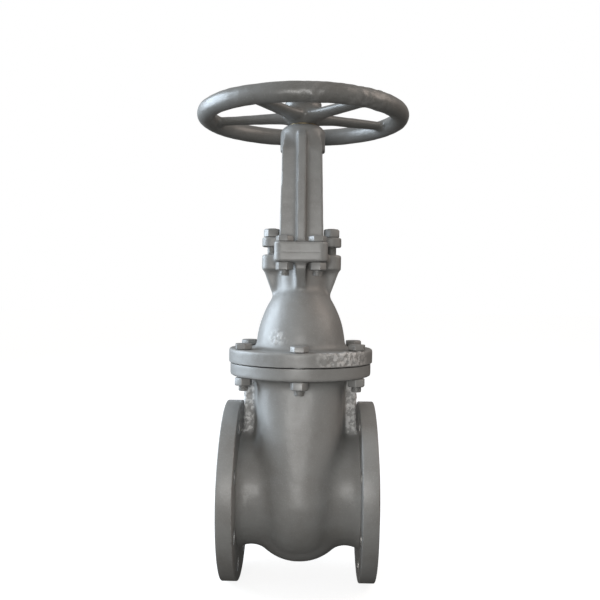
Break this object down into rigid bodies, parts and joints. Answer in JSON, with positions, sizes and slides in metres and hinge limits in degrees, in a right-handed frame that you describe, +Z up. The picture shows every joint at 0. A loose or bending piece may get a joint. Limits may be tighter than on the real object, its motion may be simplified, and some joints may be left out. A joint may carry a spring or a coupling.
{
  "type": "wedge gate valve",
  "caption": "Flanged wedge gate valve with a bolted bonnet, an outside yoke, a rising stem and a spoked handwheel that lifts the wedge.",
  "frame": {"origin": "centre of the inlet flange's face, on the pipe axis", "axes": "+X along the pipe axis from the inlet face to the outlet face, +Z up the stem, which crosses the pipe axis at x = 95 mm"},
  "size_m": [0.2634, 0.2634, 0.61],
  "materials": {
    "casting_paint": "grey alkyd paint over a rough sand-cast skin, semi-gloss",
    "wheel_paint": "grey paint over a cast rim, chipped and filled in places",
    "fastener_paint": "steel, painted over with the casting",
    "stem_steel": "turned steel with a rolled trapezoidal thread, greased",
    "nut_brass": "turned brass",
    "seat_bronze": "turned bronze",
    "wedge_iron": "cast with two ground seat rims",
    "gasket_sheet": "compressed fibre sheet",
    "packing_graphite": "braided graphite packing"
  },
  "bodies": {
    "valve": {"body": "casting_paint", "seat_ring_inlet": "seat_bronze", "seat_ring_outlet": "seat_bronze", "bonnet_gasket": "gasket_sheet", "bonnet": "casting_paint", "backseat_bushing": "seat_bronze", "stem_packing": "packing_graphite", "gland_follower": "casting_paint", "gland_flange": "casting_paint", "gland_stud_left": "fastener_paint", "gland_stud_right": "fastener_paint", "gland_nut_left": "fastener_paint", "gland_nut_right": "fastener_paint", "yoke": "casting_paint", "stem_nut_retainer": "fastener_paint"},
    "wheel": {"handwheel": "wheel_paint", "stem_nut": "nut_brass", "wheel_lock_nut": "fastener_paint"},
    "stem": {"stem": "stem_steel", "wedge": "wedge_iron"}
  },
  "joints": [
    {"name": "wheel_turn", "type": "hinge", "parent": "valve", "child": "wheel", "pos_m": [0.095, 0, 0.466], "axis": [0, 0, 1], "range_deg": [0, 7630]},
    {"name": "stem_lift", "type": "slide", "parent": "valve", "child": "stem", "axis": [0, 0, 1], "range_m": [0, 0.106]}
  ],
  "couplings": [
    {"joint": "stem_lift", "follows": "wheel_turn", "m_per_rad": 0.00079577}
  ]
}
